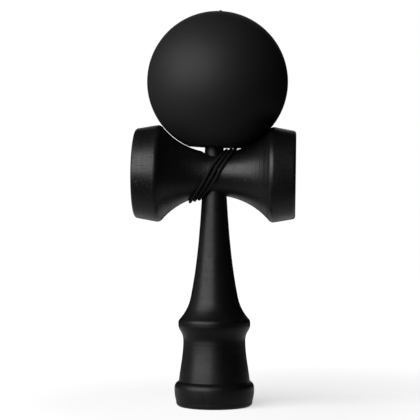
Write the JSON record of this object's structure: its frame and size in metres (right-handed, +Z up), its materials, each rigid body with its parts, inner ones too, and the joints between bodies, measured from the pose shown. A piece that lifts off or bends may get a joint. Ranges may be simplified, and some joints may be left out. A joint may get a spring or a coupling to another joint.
{
  "type": "kendama",
  "caption": "Wooden skill toy: a bored ball rests on a spiked handle whose cross-piece and foot carry catching cups, and the string that ties the ball on is wound round the cross-piece.",
  "frame": {"origin": "centre of the ring that the foot stands on, on the handle's axis", "axes": "+Z up along the handle to the ball, +X along the cross-piece to the small cup, +Y to the back, where the string rises to the ball"},
  "size_m": [0.0693, 0.0621, 0.1698],
  "materials": {
    "black_wood": "black stained hardwood, satin, fine grain and faint turning marks",
    "ball_lacquer": "wooden ball under a smooth matte black soft-touch lacquer",
    "black_string": "thin braided black polyester string",
    "bead_wood": "black stained wooden bead"
  },
  "bodies": {
    "handle_body": {"handle": "black_wood", "cup_crosspiece": "black_wood", "string_winding": "black_string", "anchor_knot": "black_string"},
    "string_end": {"string_riser": "black_string", "string_tail": "black_string", "string_bead": "bead_wood", "bead_knot": "black_string"},
    "ball_body": {"ball": "ball_lacquer"}
  },
  "joints": [
    {"name": "ball_lift", "type": "slide", "parent": "handle_body", "child": "string_end", "axis": [0, 0, 1], "range_m": [0, 0.045], "deforming": ["string_riser"]},
    {"name": "ball_spin", "type": "hinge", "parent": "string_end", "child": "ball_body", "pos_m": [0.0014, 0, 0.13815], "axis": [0.0384, -0.0436, 0.9983], "continuous": true}
  ]
}
